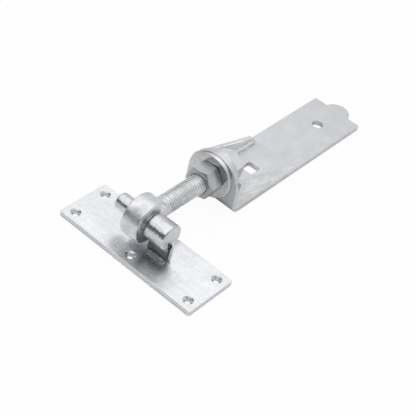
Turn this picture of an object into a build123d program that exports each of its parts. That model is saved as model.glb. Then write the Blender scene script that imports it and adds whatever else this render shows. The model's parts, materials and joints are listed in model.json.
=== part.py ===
from build123d import *
import os
from math import radians, sqrt, tan

os.makedirs("parts", exist_ok=True)

# Adjustable gate hinge, lying flat as it would on a bench. Millimetres.
# Origin: centre of the hook plate's back face. +Z stands out of the plate,
# +Y runs along the hook pin to its free end, +X runs out along the rod.

# Hook plate
plate_length = 150.0
plate_width = 55.0
plate_thickness = 5.0
plate_corner_radius = 2.0
plate_edge_radius = 0.7
screw_hole_diameter = 5.6
screw_head_diameter = 9.6
screw_head_angle = 90
screw_to_long_edge = 9.5
screw_to_short_edge = 10.0

# Hook pin: a thick shank and a thinner spigot, turned from one bar, a little
# off the plate's middle line
pin_offset = 1.2
pin_axis_height = 30.6
shoulder_position = -3.2
shank_diameter = 24.0
shank_length = 20.3
shank_edge_chamfer = 0.8
spigot_diameter = 16.0
spigot_length = 38.7
spigot_end_radius = 2.6

# Web that carries the shank, and its weld beads
web_thickness = 7.0
web_short_of_shoulder = 0.6
web_past_shank_end = 1.2
web_weld_size = 3.4
pin_weld_size = 2.4
weld_short_of_web_end = 0.8

# Eye bolt: forged eye, neck and rod in one piece
rod_diameter = 18.0
rod_reach = 120.0
rod_end_chamfer = 1.8
eye_diameter = 40.0
eye_width = 18.4
eye_bore_clearance = 0.4
eye_edge_radius = 1.6
eye_mouth_chamfer = 0.8
eye_end_play = 1.6
neck_blend_radius = 5.0
neck_inset = 0.2

# Nuts and washers
nut_across_flats = 27.0
nut_height = 15.8
nut_face_ratio = 0.98
nut_corner_angle = 30
nut_mouth_chamfer = 1.0
outer_nut_turn = -7.5
inner_nut_turn = -24.0
thread_clearance = 0.1
nut_face_gap = 0.15
washer_diameter = 43.0
washer_thickness = 4.5
washer_edge_chamfer = 0.5
washer_clearance = 0.6

# Band: one strap, bent up at the front
sheet_thickness = 5.0
strap_width = 55.0
wall_position = 90.0
wall_above_rod = 21.8
wall_hole_clearance = 1.0
bend_outer_radius = 13.0
washer_to_bend_clearance = 0.3
strap_end_position = 290.0
strap_corner_radius = 1.5
tongue_radius = 13.0
tongue_setback = 1.5
square_hole_size = 13.0
square_hole_corner = 1.5
near_hole_position = 150.8
far_hole_diameter = 11.0
far_hole_position = 256.5

# Side plates welded between the front wall and the strap
side_plate_thickness = 5.0
side_plate_front_height = 35.5
side_plate_end_height = 10.3
side_plate_slope_end = 181.0
side_plate_foot_end = 186.0
side_plate_edge_chamfer = 0.6
side_weld_size = 3.0
side_weld_short = 3.0

# Worked-out places
shank_radius = shank_diameter / 2
spigot_radius = spigot_diameter / 2
rod_radius = rod_diameter / 2
shank_end_position = shoulder_position - shank_length
web_front = shoulder_position - web_short_of_shoulder
web_back = shank_end_position - web_past_shank_end
web_length = web_front - web_back
eye_back = shoulder_position + eye_end_play
rod_offset = eye_back + eye_width / 2
strap_edge_low = rod_offset - strap_width / 2
strap_edge_high = rod_offset + strap_width / 2
wall_inner = wall_position + sheet_thickness
wall_top = pin_axis_height + wall_above_rod
wall_arc_radius = strap_width / 2
washer_low_point = pin_axis_height - washer_diameter / 2
bend_inner_radius = washer_low_point - washer_to_bend_clearance - sheet_thickness
bend_inner_end = (wall_inner + bend_inner_radius, sheet_thickness)
bend_inner_start = (wall_inner, sheet_thickness + bend_inner_radius)
outer_washer_start = wall_position - washer_thickness
outer_nut_start = outer_washer_start - nut_face_gap - nut_height
inner_nut_start = wall_inner + washer_thickness + nut_face_gap

# Planes: local x is +X and local y is +Z on the side views
side_at_pin = Plane.XZ.shift_origin((pin_offset, 0, 0))
side_at_rod = Plane.XZ.offset(-rod_offset)
along_pin = Plane.YZ.offset(pin_offset)
across_rod = Plane(
    origin=(0, rod_offset, pin_axis_height), x_dir=(0, 1, 0), z_dir=(1, 0, 0)
)
eye_face = Plane(
    origin=(pin_offset, eye_back, pin_axis_height), x_dir=(1, 0, 0), z_dir=(0, 1, 0)
)
pin_centre_line = Axis((pin_offset, 0, pin_axis_height), (0, 1, 0))
rod_centre_line = Axis((0, rod_offset, pin_axis_height), (1, 0, 0))


def export_piece(piece, name):
    piece.part.label = name
    export_step(piece.part, f"parts/{name}.step")


def rims_of(piece, radius):
    circles = piece.edges().filter_by(GeomType.CIRCLE)
    return circles.filter_by(lambda rim: abs(rim.radius - radius) < 0.01)


# Hook plate: flat bar with softened edges and six countersunk holes
screw_x = plate_width / 2 - screw_to_long_edge
screw_y = plate_length / 2 - screw_to_short_edge

with BuildPart() as hook_plate:
    with BuildSketch():
        RectangleRounded(plate_width, plate_length, plate_corner_radius)
    extrude(amount=plate_thickness)
    fillet(hook_plate.faces().sort_by(Axis.Z)[-1].edges(), plate_edge_radius)
    with Locations((0, 0, plate_thickness)):
        with GridLocations(2 * screw_x, screw_y, 2, 3):
            CounterSinkHole(
                radius=screw_hole_diameter / 2,
                counter_sink_radius=screw_head_diameter / 2,
                counter_sink_angle=screw_head_angle,
            )

export_piece(hook_plate, "hook_plate")

# Hook pin: half side view of shank, shoulder and spigot, revolved
spigot_end_position = shoulder_position + spigot_length
shank_height = pin_axis_height + shank_radius
spigot_height = pin_axis_height + spigot_radius

with BuildPart() as hook_pin:
    with BuildSketch(along_pin):
        with BuildLine():
            Polyline(
                (shank_end_position, pin_axis_height),
                (shank_end_position, shank_height),
                (shoulder_position, shank_height),
                (shoulder_position, spigot_height),
                (spigot_end_position, spigot_height),
                (spigot_end_position, pin_axis_height),
                close=True,
            )
        make_face()
    revolve(axis=pin_centre_line)
    fillet(rims_of(hook_pin, spigot_radius).sort_by(Axis.Y)[-1], spigot_end_radius)
    chamfer(rims_of(hook_pin, shank_radius), shank_edge_chamfer)

export_piece(hook_pin, "hook_pin")

# Web: flat bar on edge, its top hollowed to seat the round shank
with BuildPart() as pin_web:
    with BuildSketch(Plane.XY.offset(plate_thickness)):
        with Locations((pin_offset, (web_front + web_back) / 2)):
            Rectangle(web_thickness, web_length)
    extrude(amount=pin_axis_height - plate_thickness)
    with BuildSketch(side_at_pin.offset(-web_front)):
        with Locations((0, pin_axis_height)):
            Circle(shank_radius)
    extrude(amount=web_length, mode=Mode.SUBTRACT)

export_piece(pin_web, "pin_web")

# Weld beads: round-faced strips in the corners beside the web
shank_seat_height = pin_axis_height - sqrt(shank_radius**2 - (web_thickness / 2) ** 2)


def web_bead(corner_height, size, side):
    with BuildPart() as bead:
        with BuildSketch(side_at_pin.offset(weld_short_of_web_end - web_front)):
            with Locations((side * web_thickness / 2, corner_height)):
                Circle(size)
            with Locations((0, pin_axis_height)):
                Circle(shank_radius, mode=Mode.SUBTRACT)
            Rectangle(web_thickness, 2 * pin_axis_height, mode=Mode.SUBTRACT)
            Rectangle(plate_width, 2 * plate_thickness, mode=Mode.SUBTRACT)
        extrude(amount=web_length - 2 * weld_short_of_web_end)
    return bead


for side, side_name in ((-1, "near"), (1, "far")):
    export_piece(web_bead(plate_thickness, web_weld_size, side), f"plate_weld_{side_name}")
    export_piece(web_bead(shank_seat_height, pin_weld_size, side), f"pin_weld_{side_name}")

# Neck and rod: revolved outline whose concave neck runs into the eye,
# trimmed to the eye's width
eye_radius = eye_diameter / 2
neck_root = eye_radius - neck_inset
blend_height = rod_radius + neck_blend_radius
blend_reach = sqrt((neck_root + neck_blend_radius) ** 2 - blend_height**2)
blend_share = neck_root / (neck_root + neck_blend_radius)
blend_start = (blend_reach * blend_share, blend_height * blend_share)
blend_end = (blend_reach, rod_radius)
rod_length = rod_reach - pin_offset
neck_side = side_at_rod.shift_origin((pin_offset, rod_offset, pin_axis_height))

with BuildPart() as neck_and_rod:
    with BuildSketch(neck_side):
        with BuildLine():
            Polyline((rod_length, rod_radius), (rod_length, 0), (0, 0), (0, blend_start[1]))
            Line((0, blend_start[1]), blend_start)
            TangentArc(blend_end, blend_start, tangent=(-1, 0))
            Line(blend_end, (rod_length, rod_radius))
        make_face()
    revolve(axis=rod_centre_line)
    chamfer(rims_of(neck_and_rod, rod_radius).sort_by(Axis.X)[-1], rod_end_chamfer)
    with BuildSketch(Plane.XY):
        with Locations((pin_offset + rod_length / 2, rod_offset)):
            Rectangle(rod_length, eye_width)
    extrude(amount=pin_axis_height + eye_diameter, mode=Mode.INTERSECT)

# Eye bolt: ring with rounded rims, joined to its neck, bored for the spigot
bore_radius = spigot_radius + eye_bore_clearance

with BuildPart() as eye_bolt:
    with BuildSketch(eye_face):
        Circle(eye_radius)
    extrude(amount=eye_width)
    fillet(rims_of(eye_bolt, eye_radius), eye_edge_radius)
    add(neck_and_rod.part)
    with BuildSketch(eye_face):
        Circle(bore_radius)
    extrude(amount=eye_width, mode=Mode.SUBTRACT)
    chamfer(rims_of(eye_bolt, bore_radius), eye_mouth_chamfer)

export_piece(eye_bolt, "eye_bolt")

# Nuts: hexagons whose corners are cut back by a cone at both faces
nut_bore_radius = rod_radius + thread_clearance
nut_corner_radius = nut_across_flats / sqrt(3)
nut_face_radius = nut_face_ratio * nut_across_flats / 2
nut_cone_depth = (nut_corner_radius - nut_face_radius) * tan(radians(nut_corner_angle))


def hexagon_nut(start, turn):
    with BuildPart() as nut:
        with BuildSketch(across_rod.offset(start)):
            RegularPolygon(nut_across_flats / 2, 6, major_radius=False, rotation=turn)
        extrude(amount=nut_height)
        with BuildSketch(side_at_rod.shift_origin((start, rod_offset, pin_axis_height))):
            with BuildLine():
                Polyline(
                    (0, 0),
                    (0, nut_face_radius),
                    (nut_cone_depth, nut_corner_radius),
                    (nut_height - nut_cone_depth, nut_corner_radius),
                    (nut_height, nut_face_radius),
                    (nut_height, 0),
                    close=True,
                )
            make_face()
        revolve(axis=rod_centre_line, mode=Mode.INTERSECT)
        with BuildSketch(across_rod.offset(start)):
            Circle(nut_bore_radius)
        extrude(amount=nut_height, mode=Mode.SUBTRACT)
        chamfer(rims_of(nut, nut_bore_radius), nut_mouth_chamfer)
    return nut


export_piece(hexagon_nut(outer_nut_start, outer_nut_turn), "outer_nut")
export_piece(hexagon_nut(inner_nut_start, inner_nut_turn), "inner_nut")


# Washers, flat against the front and the inner face of the wall
def plain_washer(start):
    with BuildPart() as washer:
        with BuildSketch(across_rod.offset(start)):
            Circle(washer_diameter / 2)
            Circle(rod_radius + washer_clearance, mode=Mode.SUBTRACT)
        extrude(amount=washer_thickness)
        chamfer(rims_of(washer, washer_diameter / 2), washer_edge_chamfer)
    return washer


export_piece(plain_washer(outer_washer_start), "outer_washer")
export_piece(plain_washer(wall_inner), "inner_washer")

# Band: bent side view swept across the strap's width, then its wall rounded,
# its end drawn in to a tongue, and its holes cut
with BuildPart() as band:
    with BuildSketch(side_at_rod):
        with BuildLine():
            Polyline(
                (wall_position, bend_outer_radius),
                (wall_position, wall_top),
                (wall_inner, wall_top),
                bend_inner_start,
            )
            RadiusArc(bend_inner_start, bend_inner_end, -bend_inner_radius)
            Polyline(
                bend_inner_end,
                (strap_end_position, sheet_thickness),
                (strap_end_position, 0),
                (wall_position + bend_outer_radius, 0),
            )
            RadiusArc(
                (wall_position + bend_outer_radius, 0),
                (wall_position, bend_outer_radius),
                bend_outer_radius,
            )
        make_face()
    extrude(amount=strap_width / 2, both=True)
    end_corners = band.edges().filter_by(Axis.Z).group_by(Axis.X)[-1]
    fillet(end_corners, strap_corner_radius)
    with BuildSketch(Plane.XY):
        with Locations((strap_end_position - tongue_setback, rod_offset)):
            Circle(tongue_radius)
    extrude(amount=sheet_thickness)
    with BuildSketch(Plane.YZ.offset(wall_position)):
        with Locations((rod_offset, wall_top)):
            Rectangle(strap_width, 2 * wall_arc_radius)
        with Locations((rod_offset, wall_top - wall_arc_radius)):
            Circle(wall_arc_radius, mode=Mode.SUBTRACT)
    extrude(amount=sheet_thickness, mode=Mode.SUBTRACT)
    with BuildSketch(across_rod.offset(wall_position)):
        Circle(rod_radius + wall_hole_clearance)
    extrude(amount=sheet_thickness, mode=Mode.SUBTRACT)
    with BuildSketch(Plane.XY):
        with Locations((near_hole_position, rod_offset)):
            RectangleRounded(square_hole_size, square_hole_size, square_hole_corner)
        with Locations((far_hole_position, rod_offset)):
            Circle(far_hole_diameter / 2)
    extrude(amount=sheet_thickness, mode=Mode.SUBTRACT)

export_piece(band, "band")

# Side plates: standing on the strap, flush with its edges, each front lower
# corner rounded to sit in the bend
for edge, side, side_name in (
    (strap_edge_low, 1, "near"),
    (strap_edge_high, -1, "far"),
):
    with BuildPart() as side_plate:
        with BuildSketch(Plane.XZ.offset(-edge)):
            with BuildLine():
                Polyline(
                    bend_inner_start,
                    (wall_inner, side_plate_front_height),
                    (side_plate_slope_end, side_plate_end_height),
                    (side_plate_foot_end, sheet_thickness),
                    bend_inner_end,
                )
                RadiusArc(bend_inner_end, bend_inner_start, bend_inner_radius)
            make_face()
        extrude(amount=-side * side_plate_thickness)
        sloping_edges = side_plate.faces().sort_by(Axis.Z)[-1].edges().filter_by(
            lambda rim: rim.length > 2 * side_plate_thickness
        )
        chamfer(sloping_edges, side_plate_edge_chamfer)
    export_piece(side_plate, f"side_plate_{side_name}")

    inner_face = edge + side * side_plate_thickness
    weld_start = wall_inner + bend_inner_radius
    weld_length = side_plate_foot_end - side_weld_short - weld_start
    with BuildPart() as side_weld:
        with BuildSketch(Plane.YZ.offset(weld_start)):
            with Locations((inner_face, sheet_thickness)):
                Circle(side_weld_size)
            with Locations((inner_face - side * side_weld_size / 2, sheet_thickness)):
                Rectangle(side_weld_size, 2 * side_weld_size, mode=Mode.SUBTRACT)
            with Locations((inner_face, sheet_thickness - side_weld_size / 2)):
                Rectangle(2 * side_weld_size, side_weld_size, mode=Mode.SUBTRACT)
        extrude(amount=weld_length)
    export_piece(side_weld, f"side_weld_{side_name}")
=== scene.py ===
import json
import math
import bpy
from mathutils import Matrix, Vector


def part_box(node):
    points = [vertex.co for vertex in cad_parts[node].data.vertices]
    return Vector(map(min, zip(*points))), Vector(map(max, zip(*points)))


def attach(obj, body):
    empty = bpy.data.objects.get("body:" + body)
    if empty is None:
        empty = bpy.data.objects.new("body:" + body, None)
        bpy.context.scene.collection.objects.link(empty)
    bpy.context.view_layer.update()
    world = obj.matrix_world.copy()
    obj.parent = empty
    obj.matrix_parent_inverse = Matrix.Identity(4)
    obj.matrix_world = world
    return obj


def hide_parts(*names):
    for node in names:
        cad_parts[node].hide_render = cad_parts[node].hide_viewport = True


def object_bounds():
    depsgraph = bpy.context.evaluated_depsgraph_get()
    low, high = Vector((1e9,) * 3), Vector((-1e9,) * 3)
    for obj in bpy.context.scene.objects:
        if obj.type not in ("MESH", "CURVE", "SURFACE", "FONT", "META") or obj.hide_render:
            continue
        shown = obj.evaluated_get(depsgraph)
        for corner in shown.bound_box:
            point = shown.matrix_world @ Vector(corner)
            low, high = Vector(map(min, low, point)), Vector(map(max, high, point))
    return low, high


bl_info = {
    "name": "Adjustable gate hinge",
    "version": (1, 0, 0),
    "blender": (4, 5, 0),
    "location": "View3D > Sidebar > Gate hinge",
    "description": "Dresses a zinc plated gate hinge: thread, welds, eased edges and plating",
    "category": "Object",
}

import bmesh
import bpy
from bpy.props import FloatProperty, FloatVectorProperty, IntProperty, PointerProperty
from mathutils import Matrix, Vector, noise
from mathutils.bvhtree import BVHTree

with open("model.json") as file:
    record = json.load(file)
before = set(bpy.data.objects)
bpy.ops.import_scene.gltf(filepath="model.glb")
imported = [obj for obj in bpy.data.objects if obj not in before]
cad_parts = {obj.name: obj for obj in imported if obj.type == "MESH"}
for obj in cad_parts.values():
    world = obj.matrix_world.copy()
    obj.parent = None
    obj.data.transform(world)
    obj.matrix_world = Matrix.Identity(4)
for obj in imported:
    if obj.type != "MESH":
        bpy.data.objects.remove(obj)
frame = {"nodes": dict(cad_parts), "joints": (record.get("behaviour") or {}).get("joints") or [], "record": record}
cad_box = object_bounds()

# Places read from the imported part, in metres
JOINTS = {joint["name"]: joint for joint in frame["joints"]}
ROD_CENTRE = Vector(JOINTS["outer_nut_turn"]["pos_m"])
ROD_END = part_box("eye_bolt")[1].x
SLOT_COLOURS = {m["slot"]: m["base_color"] for m in frame["record"]["materials"]}

MM = 0.001
ALONG_ROD = Vector((1, 0, 0))
ALONG_PIN = Vector((0, 1, 0))
UP = Vector((0, 0, 1))

# Tolerances
MERGE_DISTANCE = 0.002 * MM
CONTACT_DISTANCE = 0.02 * MM
CUT_TOLERANCE = 1e-7
FLAT_ANGLE = math.radians(0.5)

# Zinc plating: how its noise becomes tone, sheen and relief
CLOUD_SCALE = 55.0
SPECKLE_SCALE = 500.0
NOISE_LOW, NOISE_HIGH = 0.3, 0.7
SPECKLE = 0.03
SPECKLE_RELIEF = 0.6
TONE_REACH = 0.35
DARKEST, LIGHTEST = 0.72, 1.14
SHEEN_CHANGE = -0.5
GRAIN_HEIGHT = 0.12 * MM

# Weld beads and pits
LEAST_RINGS = 6
RIPPLE_SHARPNESS = 0.7
BLUNT_END = 0.05
DRIFT_SCALE = 260
PIT_DRIFT_SCALE = 900
PIT_DRIFT = 0.25 * MM

# Angles in degrees, past which a piece is shaded with a crease
PLATED_CREASE = 50.0
NUT_CREASE = 15.0
FORGING_CREASE = 35.0
THREAD_CREASE = 30.0
WELD_CREASE = 80.0


def millimetres(label, description, default):
    """A length property, given here in millimetres and kept in metres."""
    return FloatProperty(
        name=label, description=description, default=default * MM, unit="LENGTH", min=0
    )


class ThreadSizes(bpy.types.PropertyGroup):
    start: millimetres("Start", "Where the thread begins, along the rod", 24.6)
    pitch: millimetres("Pitch", "Advance of the thread in one turn", 2.5)
    depth: millimetres("Depth", "Height of the thread from root to crest", 1.1)
    crest: millimetres("Crest", "Flat on top of the thread", 0.7)
    root: millimetres("Root", "Flat at the bottom of the thread", 0.5)
    run_out: millimetres("Run-out", "Length over which the groove deepens", 3.0)
    end_chamfer: millimetres("End chamfer", "Chamfer at the rod's end", 1.8)
    diameter: millimetres("Diameter", "Over the crests, just under the plain rod", 17.96)
    steps: IntProperty(
        name="Steps", description="Steps in one turn of the thread", default=72, min=12
    )


class WeldSizes(bpy.types.PropertyGroup):
    ripple: millimetres("Ripple", "Distance from one ripple of a bead to the next", 1.7)
    ripple_height: FloatProperty(
        name="Ripple height", description="Share of the bead's radius", default=0.2, min=0
    )
    bow: millimetres("Bow", "How far each ripple bows forward", 0.9)
    wander: millimetres("Wander", "How unevenly the bead runs", 0.6)
    sides: IntProperty(name="Sides", description="Sides round a bead", default=20, min=6)
    per_ripple: IntProperty(
        name="Steps per ripple", description="Rings that form one ripple", default=5, min=2
    )
    past_web: millimetres("Past the web", "How far the hook's beads pass its end", 1.5)
    web_end: millimetres("Web end", "Radius of the bead on the web's outer end", 1.9)
    web_start: millimetres("Web start", "Radius of the bead on the web's inner end", 0.9)
    corner: millimetres("Corner", "Radius of the beads at the wall's corners", 1.5)
    side_unevenness: FloatProperty(
        name="Side unevenness", description="Share left of ripple and wander", default=0.1
    )


class EdgeSizes(bpy.types.PropertyGroup):
    plate: millimetres("Plate", "Softening of the plate's sharp edges", 0.25)
    web: millimetres("Web", "Softening of the web's edges", 0.4)
    nut: millimetres("Nut", "Softening of the nuts' edges", 0.3)
    foot_height: millimetres("Foot height", "Gap under the nuts' corners", 0.7)
    foot_radius: millimetres("Foot radius", "Round foot that the nuts stand on", 11.6)
    foot_steps: IntProperty(
        name="Foot steps", description="Sides of the nuts' round foot", default=96, min=12
    )
    washer: millimetres("Washer", "Softening of the washer's edges", 0.2)
    band: millimetres("Band", "Softening of the strap's and side plates' edges", 0.45)
    least_angle: FloatProperty(
        name="Least angle",
        description="Edges that turn by more than this are softened",
        default=math.radians(38),
        unit="ROTATION",
    )


class StageSettings(bpy.types.PropertyGroup):
    camera_target: FloatVectorProperty(
        name="Camera target",
        description="Point at the middle of the picture",
        default=(0.0640, -0.01175, 0.01939),
        subtype="TRANSLATION",
    )
    camera_distance: FloatProperty(
        name="Distance", description="From camera to target", default=1.0103, unit="LENGTH"
    )
    camera_azimuth: FloatProperty(
        name="Azimuth",
        description="Turn of the camera round the part",
        default=math.radians(301.65),
        unit="ROTATION",
    )
    camera_elevation: FloatProperty(
        name="Elevation",
        description="Angle of the camera above the floor",
        default=math.radians(41.87),
        unit="ROTATION",
    )
    camera_roll: FloatProperty(
        name="Roll",
        description="Turn of the camera about its own line of sight",
        default=math.radians(13.95),
        unit="ROTATION",
    )
    lens: FloatProperty(
        name="Lens", description="Focal length for a 36 mm sensor", default=101.43
    )
    floor_half_width: FloatProperty(
        name="Floor half width", description="From the middle to the rim", default=4.0
    )
    floor_shade: FloatProperty(
        name="Floor shade", description="Lightness of the floor's surface", default=0.9
    )
    floor_lift: FloatProperty(
        name="Floor lift", description="Share of the floor that shines white", default=0.95
    )
    sky_high: FloatProperty(
        name="Sky overhead", description="Strength of the bright sky", default=1.24
    )
    sky_zenith: FloatProperty(
        name="Sky zenith",
        description="Share of that left straight up, at the lamp",
        default=0.4,
    )
    sky_back: FloatProperty(
        name="Sky behind", description="Strength on the side away from the camera", default=0.72
    )
    sky_front: FloatProperty(
        name="Sky in front", description="Strength on the camera's side", default=0.07
    )
    sky_low: FloatProperty(
        name="Sky low down", description="Strength just above the floor", default=0.22
    )
    sky_axis: FloatVectorProperty(
        name="Sky axis",
        description="Direction of the middle of the bright sky",
        default=(0.0, 0.1, 1.0),
        subtype="DIRECTION",
    )
    sky_rim: FloatProperty(
        name="Sky rim", description="Cosine from the axis where the sky turns dim", default=0.52
    )
    sky_core: FloatProperty(
        name="Sky core", description="Cosine from the axis where the sky is full", default=0.71
    )
    zenith_rim: FloatProperty(
        name="Zenith rim", description="Cosine where the dip overhead starts", default=0.968
    )
    zenith_core: FloatProperty(
        name="Zenith core", description="Cosine where the dip is at its full", default=0.99
    )
    sky_turn: FloatVectorProperty(
        name="Sky turn",
        description="Along the rod's direction, where front turns to back",
        size=2,
        default=(-0.25, 0.35),
    )
    low_band: FloatVectorProperty(
        name="Low band",
        description="Heights between which the low sky fades away",
        size=2,
        default=(0.14, 0.34),
    )
    lamp_place: FloatVectorProperty(
        name="Lamp place",
        description="Of the soft box overhead",
        default=(0.12, -0.1, 1.5),
        subtype="TRANSLATION",
    )
    lamp_power: FloatProperty(
        name="Lamp power", description="Of the soft box overhead", default=2.2, unit="POWER"
    )
    lamp_width: FloatProperty(
        name="Lamp width", description="Side of the soft box", default=1.2, unit="LENGTH"
    )


# Material building
def add_node(tree, kind, **settings):
    """Adds a shader node and sets its fields."""
    made = tree.nodes.new(kind)
    for key, value in settings.items():
        setattr(made, key, value)
    return made


def noise_texture(tree, coordinates, scale, detail, roughness):
    texture = add_node(tree, "ShaderNodeTexNoise")
    texture.inputs["Scale"].default_value = scale
    texture.inputs["Detail"].default_value = detail
    texture.inputs["Roughness"].default_value = roughness
    tree.links.new(coordinates, texture.inputs["Vector"])
    return texture.outputs["Fac"]


def stretched(tree, coordinates, stretch, turn=(0, 0, 0)):
    """Coordinates scaled, and turned by angles in radians."""
    mapping = add_node(tree, "ShaderNodeMapping")
    mapping.inputs["Scale"].default_value = stretch
    mapping.inputs["Rotation"].default_value = turn
    tree.links.new(coordinates, mapping.inputs["Vector"])
    return mapping.outputs["Vector"]


def mapped(tree, value, low, high, to_low, to_high):
    """A value carried over, and held, from one range to another."""
    spread = add_node(tree, "ShaderNodeMapRange")
    for key, number in (
        ("From Min", low),
        ("From Max", high),
        ("To Min", to_low),
        ("To Max", to_high),
    ):
        spread.inputs[key].default_value = number
    tree.links.new(value, spread.inputs["Value"])
    return spread.outputs["Result"]


def combined(tree, operation, first, second):
    """Two values, sockets or plain numbers, joined by one maths step."""
    maths = add_node(tree, "ShaderNodeMath", operation=operation)
    for socket, value in zip(maths.inputs, (first, second)):
        if isinstance(value, (int, float)):
            socket.default_value = value
        else:
            tree.links.new(value, socket)
    return maths.outputs["Value"]


def relief_from(tree, height, strength, distance, under=None):
    """Bump from a height, laid over coarser bump where that is given."""
    relief = add_node(tree, "ShaderNodeBump")
    relief.inputs["Strength"].default_value = strength
    relief.inputs["Distance"].default_value = distance
    tree.links.new(height, relief.inputs["Height"])
    if under:
        tree.links.new(under, relief.inputs["Normal"])
    return relief.outputs["Normal"]


def zinc_plating(
    name,
    slot,
    roughness,
    grain,
    grain_turn=0.0,
    cloud=0.1,
    streak=0.1,
    bump=0.25,
    dent_size=8.0,
    dent_depth=0.0,
    shade=1.0,
    metallic=1.0,
):
    """Zinc plated steel: cloudy tone, fine grain, and streaks drawn out along the metal.

    Grain is the noise scale along each axis, small where streaks run long, and is turned
    about the pin's direction by grain_turn degrees. Dents, in millimetres, are the soft
    unevenness that hammering or rolling leaves.
    """
    material = bpy.data.materials.new(name)
    material.use_nodes = True
    tree = material.node_tree
    shader = tree.nodes["Principled BSDF"]
    shader.inputs["Metallic"].default_value = metallic
    place = add_node(tree, "ShaderNodeTexCoord").outputs["Object"]
    clouds = noise_texture(tree, place, CLOUD_SCALE, 4, 0.62)
    speckle = noise_texture(tree, place, SPECKLE_SCALE, 1, 0.6)
    along = stretched(tree, place, (1, 1, 1), (0, math.radians(grain_turn), 0))
    streaks = noise_texture(tree, stretched(tree, along, grain), 1.0, 2, 0.6)

    cloud_tone = mapped(tree, clouds, NOISE_LOW, NOISE_HIGH, -cloud, cloud)
    streak_tone = mapped(tree, streaks, NOISE_LOW, NOISE_HIGH, -streak, streak)
    speckle_tone = mapped(tree, speckle, NOISE_LOW, NOISE_HIGH, -SPECKLE, SPECKLE)
    tone = combined(tree, "ADD", combined(tree, "ADD", cloud_tone, streak_tone), speckle_tone)
    ramp = add_node(tree, "ShaderNodeValToRGB")
    shades = ramp.color_ramp.elements
    colour = SLOT_COLOURS[slot]
    shades[0].color = (*[c * shade * DARKEST for c in colour], 1)
    shades[1].color = (*[min(1.0, c * shade * LIGHTEST) for c in colour], 1)
    share = mapped(tree, tone, -TONE_REACH, TONE_REACH, 0.0, 1.0)
    tree.links.new(share, ramp.inputs["Fac"])
    tree.links.new(ramp.outputs["Color"], shader.inputs["Base Color"])

    sheen_change = combined(tree, "MULTIPLY", tone, SHEEN_CHANGE)
    tree.links.new(
        combined(tree, "ADD", sheen_change, roughness), shader.inputs["Roughness"]
    )

    uneven = None
    if dent_depth:
        dent_heights = noise_texture(tree, place, 1 / (dent_size * MM), 3, 0.55)
        uneven = relief_from(tree, dent_heights, 1.0, dent_depth * MM)
    grains = combined(tree, "MULTIPLY", speckle, SPECKLE_RELIEF)
    height = combined(tree, "ADD", streaks, grains)
    fine = relief_from(tree, height, bump, GRAIN_HEIGHT, uneven)
    tree.links.new(fine, shader.inputs["Normal"])
    return material


# Mesh building
def merged_copy(node):
    """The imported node's mesh as one bmesh, with its loose triangles joined."""
    shape = bmesh.new()
    shape.from_mesh(frame["nodes"][node].data)
    bmesh.ops.remove_doubles(shape, verts=shape.verts, dist=MERGE_DISTANCE)
    return shape


def split_across(shape, place):
    """Divides the faces by a plane across the rod, so that an edge can end there."""
    bmesh.ops.bisect_plane(
        shape,
        geom=shape.verts[:] + shape.edges[:] + shape.faces[:],
        dist=CUT_TOLERANCE,
        plane_co=place,
        plane_no=ALONG_ROD,
    )


def cut_off(shape, place, direction):
    """Takes away what lies beyond a plane and closes the cut."""
    cut = bmesh.ops.bisect_plane(
        shape,
        geom=shape.verts[:] + shape.edges[:] + shape.faces[:],
        dist=CUT_TOLERANCE,
        plane_co=place,
        plane_no=direction,
        clear_outer=True,
    )
    rim = [part for part in cut["geom_cut"] if isinstance(part, bmesh.types.BMEdge)]
    bmesh.ops.holes_fill(shape, edges=rim, sides=0)


def surface_of(*nodes):
    """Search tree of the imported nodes' surfaces."""
    shape = bmesh.new()
    for node in nodes:
        shape.from_mesh(frame["nodes"][node].data)
    tree = BVHTree.FromBMesh(shape)
    shape.free()
    return tree


def lies_on(edge, surface):
    """Whether an edge touches a surface near an end or in its middle."""
    start, end = (corner.co for corner in edge.verts)
    places = [start.lerp(end, share) for share in (0.1, 0.5, 0.9)]
    return any(surface.find_nearest(place, CONTACT_DISTANCE)[0] for place in places)


def soften_edges(shape, width, least_angle, joined_to=None):
    """Rounds the edges that turn sharply, but not those joined to another surface."""
    sharp = [
        edge
        for edge in shape.edges
        if edge.is_manifold and edge.calc_face_angle() > least_angle
    ]
    if joined_to:
        sharp = [edge for edge in sharp if not lies_on(edge, joined_to)]
    bmesh.ops.bevel(
        shape,
        geom=sharp,
        offset=width,
        offset_type="OFFSET",
        affect="EDGES",
        segments=2,
        profile=0.5,
        material=-1,
        clamp_overlap=True,
    )


def make_piece(shape, name, body, nodes, material, crease=PLATED_CREASE):
    """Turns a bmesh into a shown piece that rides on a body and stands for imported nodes."""
    mesh = bpy.data.meshes.new(name)
    shape.to_mesh(mesh)
    shape.free()
    mesh.shade_smooth()
    mesh.set_sharp_from_angle(angle=math.radians(crease))
    mesh.materials.append(material)
    piece = bpy.data.objects.new(name, mesh)
    bpy.context.scene.collection.objects.link(piece)
    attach(piece, body)
    if nodes:
        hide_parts(*nodes)
    return piece


def weight_normals(piece):
    """Keeps large flat faces flat beside their rounded edges."""
    modifier = piece.modifiers.new("flat faces", "WEIGHTED_NORMAL")
    modifier.keep_sharp = True
    modifier.weight = 90


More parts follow.
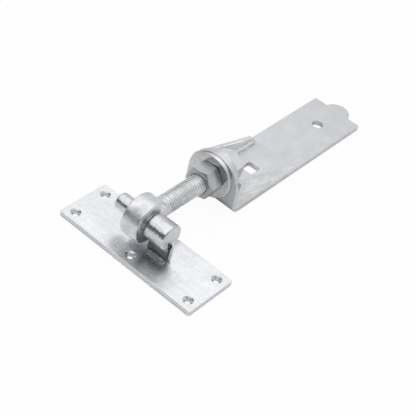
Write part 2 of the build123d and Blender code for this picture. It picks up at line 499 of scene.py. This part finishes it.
def stand_on_foot(shape, place):
    """Leaves the nut on a round foot, so that a gap runs round under its corners."""
    sizes = bpy.context.scene.hinge_edges
    inwards = math.copysign(1, sum(vertex.co.x - place for vertex in shape.verts))
    for vertex in shape.verts:
        if abs(vertex.co.x - place) < CONTACT_DISTANCE:
            vertex.co.x += inwards * sizes.foot_height
    top = place + inwards * 1.5 * sizes.foot_height  # half its height inside the nut
    bore = min((vertex.co - ROD_CENTRE).yz.length for vertex in shape.verts) + MERGE_DISTANCE
    corners = [
        shape.verts.new((along, ROD_CENTRE.y, ROD_CENTRE.z + out))
        for along, out in (
            (place, bore),
            (place, sizes.foot_radius),
            (top, sizes.foot_radius),
            (top, bore),
        )
    ]
    rim = [shape.edges.new((corners[at - 1], corners[at])) for at in range(4)]
    bmesh.ops.spin(
        shape,
        geom=corners + rim,
        cent=ROD_CENTRE,
        axis=ALONG_ROD,
        angle=math.tau,
        steps=sizes.foot_steps,
        use_merge=True,
    )
    bmesh.ops.recalc_face_normals(shape, faces=shape.faces)


def dress_node(
    node,
    body,
    material,
    width,
    split_place=None,
    joined_to=None,
    foot=None,
    crease=PLATED_CREASE,
):
    """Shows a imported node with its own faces, softened edges and plating."""
    shape = merged_copy(node)
    bmesh.ops.dissolve_limit(
        shape, angle_limit=FLAT_ANGLE, verts=shape.verts, edges=shape.edges
    )
    if split_place is not None:
        split_across(shape, split_place)
    if foot is not None:
        stand_on_foot(shape, foot)
    soften_edges(shape, width, bpy.context.scene.hinge_edges.least_angle, joined_to)
    piece = make_piece(shape, node + "_plated", body, [node], material, crease)
    weight_normals(piece)


class HINGE_OT_dress_hook(bpy.types.Operator):
    """Plate the hook: its screwed plate, turned pin and web"""

    bl_idname = "hinge.dress_hook"
    bl_label = "Hook"

    def execute(self, context):
        edges = context.scene.hinge_edges
        plate = zinc_plating(
            "plate zinc",
            "plate",
            roughness=0.28,
            grain=(420, 30, 420),
            cloud=0.08,
            streak=0.05,
            bump=0.12,
            dent_size=9.0,
            dent_depth=0.12,
            shade=1.1,
        )
        pin = zinc_plating(
            "pin zinc",
            "pin",
            roughness=0.24,
            grain=(420, 70, 420),
            cloud=0.14,
            bump=0.14,
            dent_size=2.4,
            dent_depth=0.3,
            shade=0.88,
        )
        # The web's colour is darkened far below the other zinc: painted shade for the shaded side it turns to the
        # camera, along with a brownish stain.
        web = zinc_plating(
            "web zinc with painted shade",
            "web",
            roughness=0.38,
            grain=(300, 60, 300),
            cloud=0.25,
            dent_size=3.0,
            dent_depth=0.3,
            shade=0.28,
        )
        dress_node("hook_plate", "hook", plate, edges.plate)
        dress_node("hook_pin", "hook", pin, edges.plate)
        dress_node("pin_web", "hook", web, edges.web)
        return {"FINISHED"}


def threaded_rod(sizes, radius):
    """A helical ridge spun from a zigzag one pitch longer than the thread at each end."""
    pitch = sizes.pitch
    flank = (pitch - sizes.crest - sizes.root) / 2
    low, high = sizes.start - sizes.run_out, ROD_END
    turns = math.ceil((high - low) / pitch) + 2
    ridge = (
        (0, radius),
        (sizes.crest, radius),
        (sizes.crest + flank, radius - sizes.depth),
        (sizes.crest + flank + sizes.root, radius - sizes.depth),
    )
    shape = bmesh.new()
    first = low - pitch
    corners = [
        shape.verts.new((first + turn * pitch + along, ROD_CENTRE.y, ROD_CENTRE.z + out))
        for turn in range(turns)
        for along, out in ridge
    ]
    edges = [shape.edges.new(pair) for pair in zip(corners, corners[1:])]
    bmesh.ops.spin(
        shape,
        geom=corners + edges,
        cent=ROD_CENTRE,
        axis=ALONG_ROD,
        dvec=ALONG_ROD * (pitch / sizes.steps),
        angle=math.tau,
        steps=sizes.steps,
    )
    bmesh.ops.remove_doubles(shape, verts=shape.verts, dist=CONTACT_DISTANCE)
    cut_off(shape, ALONG_ROD * low, -ALONG_ROD)
    cut_off(shape, ALONG_ROD * high, ALONG_ROD)
    for vertex in shape.verts:
        out = Vector((0, vertex.co.y - ROD_CENTRE.y, vertex.co.z - ROD_CENTRE.z))
        groove = min(1.0, max(0.0, (vertex.co.x - sizes.start) / sizes.run_out))
        least = radius - sizes.depth * groove
        most = radius - max(0.0, vertex.co.x - (high - sizes.end_chamfer))
        wanted = min(most, max(least, out.length))
        out *= wanted / out.length
        vertex.co.y = ROD_CENTRE.y + out.y
        vertex.co.z = ROD_CENTRE.z + out.z
    bmesh.ops.recalc_face_normals(shape, faces=shape.faces)
    return shape


class HINGE_OT_dress_eye_bolt(bpy.types.Operator):
    """Build the eye bolt: forged eye and neck, and a rod with a rolled thread"""

    bl_idname = "hinge.dress_eye_bolt"
    bl_label = "Eye bolt"

    def execute(self, context):
        sizes = context.scene.hinge_thread
        forged = zinc_plating(
            "forged zinc",
            "eye_bolt",
            roughness=0.38,
            grain=(160, 160, 160),
            cloud=0.26,
            streak=0.12,
            bump=0.5,
            dent_size=4.5,
            dent_depth=0.6,
            shade=1.08,
        )
        rolled = zinc_plating(
            "thread zinc",
            "eye_bolt",
            roughness=0.42,
            grain=(900, 120, 120),
            cloud=0.16,
            shade=1.2,
        )
        forging = merged_copy("eye_bolt")
        cut_off(forging, ALONG_ROD * sizes.start, ALONG_ROD)
        make_piece(
            forging,
            "eye_forging",
            "eye_bolt",
            ["eye_bolt"],
            forged,
            FORGING_CREASE,
        )
        thread = threaded_rod(sizes, sizes.diameter / 2)
        make_piece(
            thread, "eye_bolt_thread", "eye_bolt", [], rolled, THREAD_CREASE
        )
        return {"FINISHED"}


class HINGE_OT_dress_nuts(bpy.types.Operator):
    """Plate the two hexagon nuts and the two washers"""

    bl_idname = "hinge.dress_nuts"
    bl_label = "Nuts and washers"

    def execute(self, context):
        edges = context.scene.hinge_edges
        washer = zinc_plating(
            "washer zinc",
            "washer",
            roughness=0.32,
            grain=(260, 260, 260),
            cloud=0.16,
            dent_size=3.0,
            dent_depth=0.15,
        )
        # Which end of its box faces the wall, and the shade painted into its colour: the outer nut is darkened and
        # the inner nut lightened for how the light falls on each
        for name, wall_end, shade in (("outer_nut", 1, 0.86), ("inner_nut", 0, 1.25)):
            nut = zinc_plating(
                name.replace("_", " ") + " zinc",
                "nut",
                roughness=0.36,
                grain=(700, 120, 120),
                cloud=0.16,
                dent_size=3.0,
                dent_depth=0.2,
                shade=shade,
            )
            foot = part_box(name)[wall_end].x
            dress_node(name, name, nut, edges.nut, foot=foot, crease=NUT_CREASE)
        dress_node("outer_washer", "band", washer, edges.washer)
        dress_node("inner_washer", "band", washer, edges.washer)
        return {"FINISHED"}


class HINGE_OT_dress_band(bpy.types.Operator):
    """Plate the bent strap and its two side plates"""

    bl_idname = "hinge.dress_band"
    bl_label = "Band"

    def execute(self, context):
        edges = context.scene.hinge_edges
        band = zinc_plating(
            "band zinc",
            "band",
            roughness=0.4,
            grain=(20, 300, 300),
            cloud=0.1,
            streak=0.03,
            bump=0.1,
            dent_size=12.0,
            dent_depth=0.15,
            shade=0.94,
        )
        side = zinc_plating(
            "side plate zinc",
            "side_plate",
            roughness=0.42,
            grain=(30, 260, 260),
            grain_turn=-16.0,
            cloud=0.22,
            streak=0.16,
            dent_size=5.0,
            dent_depth=0.3,
            shade=1.18,
        )
        sides = ("side_plate_near", "side_plate_far")
        far_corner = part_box("side_plate_near")[1]
        dress_node(
            "band",
            "band",
            band,
            edges.band,
            split_place=far_corner,
            joined_to=surface_of(*sides),
        )
        for node in sides:
            dress_node(
                node, "band", side, edges.band, joined_to=surface_of("band")
            )
        return {"FINISHED"}


def weld_bead(
    name, body, replaced, start, end, radius, outward, material, seed, unevenness=1.0
):
    """A rippled bead of closed rings, drawn from start to end and rounded off at both.

    Each ripple bows towards the end along the bead's middle, which faces outward. The
    seed shifts the unevenness, so that no two beads wander alike.
    """
    sizes = bpy.context.scene.hinge_welds
    run = end - start
    rings = max(LEAST_RINGS, round(run.length / sizes.ripple * sizes.per_ripple))
    across = outward.cross(run).normalized()
    turned = Matrix((across, outward, run.normalized())).transposed().to_4x4()

    def ring_size(share):
        along = share * run.length
        ripple = abs(math.sin(math.pi * along / sizes.ripple)) ** RIPPLE_SHARPNESS
        to_end = max(0.0, min(along, run.length - along))
        end_round = min(1.0, math.sqrt(to_end / radius + BLUNT_END))
        return radius * end_round * (1 - sizes.ripple_height * unevenness * (1 - ripple))

    shape = bmesh.new()
    bmesh.ops.create_circle(
        shape, cap_ends=True, segments=sizes.sides, radius=ring_size(0)
    )
    cap = shape.faces[:][0]
    previous = ring_size(0)
    for ring in range(1, rings + 1):
        share = ring / rings
        grown = bmesh.ops.extrude_face_region(shape, geom=[cap])["geom"]
        cap = next(part for part in grown if isinstance(part, bmesh.types.BMFace))
        corners = [part for part in grown if isinstance(part, bmesh.types.BMVert)]
        height = Vector((0, 0, share * run.length))
        bmesh.ops.translate(shape, verts=corners, vec=UP * (run.length / rings))
        factor = ring_size(share) / previous
        previous = ring_size(share)
        bmesh.ops.scale(
            shape, verts=corners, vec=(factor, factor, 1), space=Matrix.Translation(-height)
        )
    for vertex in shape.verts:
        side = vertex.co.x / radius
        vertex.co.z += sizes.bow * (1 - side * side)
        drift = noise.noise_vector(vertex.co * DRIFT_SCALE + Vector((seed, 0, 0)))
        vertex.co.xy += drift.xy * sizes.wander * unevenness
    bmesh.ops.transform(shape, matrix=Matrix.Translation(start) @ turned, verts=shape.verts)
    bmesh.ops.recalc_face_normals(shape, faces=shape.faces)
    make_piece(shape, name, body, replaced, material, WELD_CREASE)


def weld_void(name, body, centre, size, lean, material):
    """A pit where the bead didn't close: a small flattened ball, sunk in the weld and painted near black for the
    shade inside it.
    """
    shape = bmesh.new()
    bmesh.ops.create_uvsphere(shape, u_segments=16, v_segments=10, radius=1)
    bmesh.ops.scale(shape, verts=shape.verts, vec=size)
    for vertex in shape.verts:
        vertex.co += noise.noise_vector(vertex.co * PIT_DRIFT_SCALE) * PIT_DRIFT
    turned = Matrix.Translation(centre) @ Matrix.Rotation(lean, 4, ALONG_PIN)
    bmesh.ops.transform(shape, matrix=turned, verts=shape.verts)
    make_piece(shape, name, body, [], material, WELD_CREASE)


def weld_web_ends(sizes, highlight_bead_material, pit_shade_material):
    """Upright beads on the web's two ends, coloured with a painted highlight, and the pit and crack left in the
    outer one, painted near black for their shade.
    """
    low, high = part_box("pin_web")

    def on_outer_end(along, above, out=0.0):
        """A place in millimetres from the low corner of the outer end."""
        return Vector((low.x + along * MM, low.y - out * MM, low.z + above * MM))

    weld_bead(
        "web_end_weld",
        "hook",
        [],
        on_outer_end(4.5, 0),
        on_outer_end(5.4, 18.4),
        sizes.web_end,
        -ALONG_PIN,
        highlight_bead_material,
        seed=11,
    )
    inner_foot = Vector((low.x, high.y, low.z))
    weld_bead(
        "web_start_weld",
        "hook",
        [],
        inner_foot,
        inner_foot + UP * 8.5 * MM,
        sizes.web_start,
        Vector((-1, 1, 0)).normalized(),
        highlight_bead_material,
        seed=12,
    )
    weld_void(
        "web_end_void",
        "hook",
        on_outer_end(3.5, 16.8, out=0.2),
        (0.5 * MM, 0.9 * MM, 2.8 * MM),
        0,
        pit_shade_material,
    )
    weld_void(
        "web_end_crack",
        "hook",
        on_outer_end(1.9, 8.2),
        (0.4 * MM, 0.4 * MM, 6.4 * MM),
        math.radians(11),
        pit_shade_material,
    )


class HINGE_OT_run_welds(bpy.types.Operator):
    """Run the rippled weld beads of the hook and the band"""

    bl_idname = "hinge.run_welds"
    bl_label = "Welds"

    def execute(self, context):
        weld = zinc_plating(
            "weld zinc",
            "weld",
            roughness=0.45,
            grain=(500, 500, 500),
            cloud=0.3,
            bump=0.5,
            dent_size=2.5,
            dent_depth=0.4,
            shade=0.8,
        )
        # The beads on the web's two ends take a painted highlight: their colour is raised near white and made less
        # metallic, so that they shine as bright as glints.
        painted_highlight_weld = zinc_plating(
            "weld zinc with painted highlight",
            "weld",
            roughness=0.4,
            grain=(500, 500, 500),
            cloud=0.25,
            bump=0.4,
            dent_size=2.5,
            dent_depth=0.4,
            shade=1.4,
            metallic=0.3,
        )
        plain_weld = zinc_plating(
            "side weld zinc",
            "band",
            roughness=0.5,
            grain=(500, 500, 500),
            cloud=0.15,
            bump=0.1,
            shade=0.95,
        )
        # Near black: painted shade for the inside of the pit and the crack in the web's end bead.
        pit = zinc_plating(
            "painted shade in the weld pit", "weld", roughness=0.6, grain=(300, 300, 300), shade=0.06
        )
        sizes = context.scene.hinge_welds
        weld_web_ends(sizes, painted_highlight_weld, pit)
        for number, (side, sign) in enumerate((("near", -1), ("far", 1))):
            for node in (f"plate_weld_{side}", f"pin_weld_{side}"):
                low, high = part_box(node)
                inner_x = high.x if sign < 0 else low.x
                radius = high.x - low.x
                centre_z = low.z if node.startswith("plate") else low.z + radius
                weld_bead(
                    node + "_bead",
                    "hook",
                    [node],
                    Vector((inner_x, low.y - sizes.past_web, centre_z)),
                    Vector((inner_x, high.y, centre_z)),
                    radius,
                    Vector((sign, 0, 1)).normalized(),
                    weld,
                    seed=number,
                )
            node = f"side_weld_{side}"
            low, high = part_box(node)
            inner_y = low.y if sign < 0 else high.y
            weld_bead(
                node + "_bead",
                "band",
                [node],
                Vector((low.x, inner_y, low.z)),
                Vector((high.x, inner_y, low.z)),
                high.z - low.z,
                Vector((0, -sign, 1)).normalized(),
                plain_weld,
                seed=number + 5,
                unevenness=sizes.side_unevenness,
            )
            low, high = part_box(f"side_plate_{side}")
            outer_y = low.y if sign < 0 else high.y
            weld_bead(
                f"corner_weld_{side}",
                "band",
                [],
                Vector((low.x, outer_y - sign * 0.9 * MM, high.z - 6.5 * MM)),
                Vector((low.x, outer_y - sign * 2.0 * MM, high.z)),
                sizes.corner,
                ALONG_PIN * sign,
                plain_weld,
                seed=number + 8,
            )
        return {"FINISHED"}


def floor_material(settings):
    """White surface that takes the shadow, lifted towards plain white in the picture."""
    material = bpy.data.materials.new("floor")
    material.use_nodes = True
    tree = material.node_tree
    tree.nodes.clear()
    output = add_node(tree, "ShaderNodeOutputMaterial")
    surface = add_node(tree, "ShaderNodeBsdfDiffuse")
    surface.inputs["Color"].default_value = (*[settings.floor_shade] * 3, 1)
    white = add_node(tree, "ShaderNodeEmission")
    mix = add_node(tree, "ShaderNodeMixShader")
    path = add_node(tree, "ShaderNodeLightPath")
    share = combined(tree, "MULTIPLY", path.outputs["Is Camera Ray"], settings.floor_lift)
    tree.links.new(share, mix.inputs["Fac"])
    tree.links.new(surface.outputs["BSDF"], mix.inputs[1])
    tree.links.new(white.outputs["Emission"], mix.inputs[2])
    tree.links.new(mix.outputs["Shader"], output.inputs["Surface"])
    return material


def soft_sky(settings):
    """Bright overhead, pale behind the part and dim on the camera's side."""
    world = bpy.data.worlds.new("soft sky")
    world.use_nodes = True
    tree = world.node_tree
    closeness = add_node(tree, "ShaderNodeVectorMath", operation="DOT_PRODUCT")
    closeness.inputs[1].default_value = Vector(settings.sky_axis).normalized()
    direction = add_node(tree, "ShaderNodeTexCoord").outputs["Generated"]
    tree.links.new(direction, closeness.inputs[0])
    split = add_node(tree, "ShaderNodeSeparateXYZ")
    tree.links.new(direction, split.inputs["Vector"])
    facing = closeness.outputs["Value"]
    overhead = mapped(
        tree, facing, settings.sky_rim, settings.sky_core, 0, settings.sky_high
    )
    round_about = mapped(
        tree, split.outputs["X"], *settings.sky_turn, settings.sky_front, settings.sky_back
    )
    zenith = mapped(
        tree, facing, settings.zenith_rim, settings.zenith_core, 1, settings.sky_zenith
    )
    overhead = combined(tree, "MULTIPLY", overhead, zenith)
    low_down = mapped(tree, split.outputs["Z"], *settings.low_band, settings.sky_low, 0)
    sides = combined(tree, "MAXIMUM", round_about, low_down)
    strength = combined(tree, "MAXIMUM", overhead, sides)
    tree.links.new(strength, tree.nodes["Background"].inputs["Strength"])
    tree.nodes["Background"].inputs["Color"].default_value = (1, 1, 1, 1)
    bpy.context.scene.world = world


def soft_lamp(name, place, target, width, power):
    """A square soft box turned towards a point of the part."""
    lamp = bpy.data.lights.new(name, "AREA")
    lamp.shape = "SQUARE"
    lamp.size = width
    lamp.energy = power
    holder = bpy.data.objects.new(name, lamp)
    holder.location = place
    holder.rotation_euler = (target - place).to_track_quat("-Z", "Y").to_euler()
    bpy.context.scene.collection.objects.link(holder)


def place_camera(settings):
    """Looks at the target from the photograph's direction and distance."""
    azimuth, elevation = settings.camera_azimuth, settings.camera_elevation
    back = Vector(
        (
            math.sin(azimuth) * math.cos(elevation),
            -math.cos(azimuth) * math.cos(elevation),
            math.sin(elevation),
        )
    )
    target = Vector(settings.camera_target)
    camera = bpy.data.cameras.new("camera")
    camera.lens = settings.lens
    camera.sensor_width = 36.0
    camera.clip_end = 20.0
    holder = bpy.data.objects.new("camera", camera)
    turned = (-back).to_track_quat("-Z", "Y").to_matrix().to_4x4()
    rolled = turned @ Matrix.Rotation(settings.camera_roll, 4, "Z")
    place = Matrix.Translation(target + back * settings.camera_distance)
    holder.matrix_world = place @ rolled
    bpy.context.scene.collection.objects.link(holder)
    bpy.context.scene.camera = holder


class HINGE_OT_lay_stage(bpy.types.Operator):
    """Lay the pale floor, the soft light and the camera"""

    bl_idname = "hinge.lay_stage"
    bl_label = "Stage"

    def execute(self, context):
        settings = context.scene.hinge_stage
        shape = bmesh.new()
        bmesh.ops.create_grid(
            shape, x_segments=1, y_segments=1, size=settings.floor_half_width
        )
        under_part = Vector((0, 0, cad_box[0].z - CONTACT_DISTANCE))
        bmesh.ops.translate(shape, verts=shape.verts, vec=under_part)
        mesh = bpy.data.meshes.new("floor")
        shape.to_mesh(mesh)
        shape.free()
        mesh.materials.append(floor_material(settings))
        floor = bpy.data.objects.new("floor", mesh)
        context.scene.collection.objects.link(floor)
        soft_sky(settings)
        middle = (cad_box[0] + cad_box[1]) / 2
        soft_lamp(
            "top light",
            Vector(settings.lamp_place),
            middle,
            settings.lamp_width,
            settings.lamp_power,
        )
        place_camera(settings)
        context.scene.view_settings.view_transform = "Standard"
        return {"FINISHED"}


class HINGE_PT_panel(bpy.types.Panel):
    """Lists the steps that dress the hinge"""

    bl_idname = "HINGE_PT_panel"
    bl_label = "Gate hinge"
    bl_space_type = "VIEW_3D"
    bl_region_type = "UI"
    bl_category = "Gate hinge"

    def draw(self, context):
        for step in STEPS:
            self.layout.operator(step.bl_idname)


STEPS = (
    HINGE_OT_dress_hook,
    HINGE_OT_dress_eye_bolt,
    HINGE_OT_dress_nuts,
    HINGE_OT_dress_band,
    HINGE_OT_run_welds,
    HINGE_OT_lay_stage,
)
GROUPS = {
    "hinge_thread": ThreadSizes,
    "hinge_welds": WeldSizes,
    "hinge_edges": EdgeSizes,
    "hinge_stage": StageSettings,
}


def register():
    for name, group in GROUPS.items():
        bpy.utils.register_class(group)
        setattr(bpy.types.Scene, name, PointerProperty(type=group))
    for step in STEPS:
        bpy.utils.register_class(step)
    bpy.utils.register_class(HINGE_PT_panel)


def unregister():
    bpy.utils.unregister_class(HINGE_PT_panel)
    for step in reversed(STEPS):
        bpy.utils.unregister_class(step)
    for name, group in GROUPS.items():
        delattr(bpy.types.Scene, name)
        bpy.utils.unregister_class(group)


def main():
    register()
    bpy.ops.hinge.dress_hook()
    bpy.ops.hinge.dress_eye_bolt()
    bpy.ops.hinge.dress_nuts()
    bpy.ops.hinge.dress_band()
    bpy.ops.hinge.run_welds()
    bpy.ops.hinge.lay_stage()


if __name__ == "__main__":
    main()
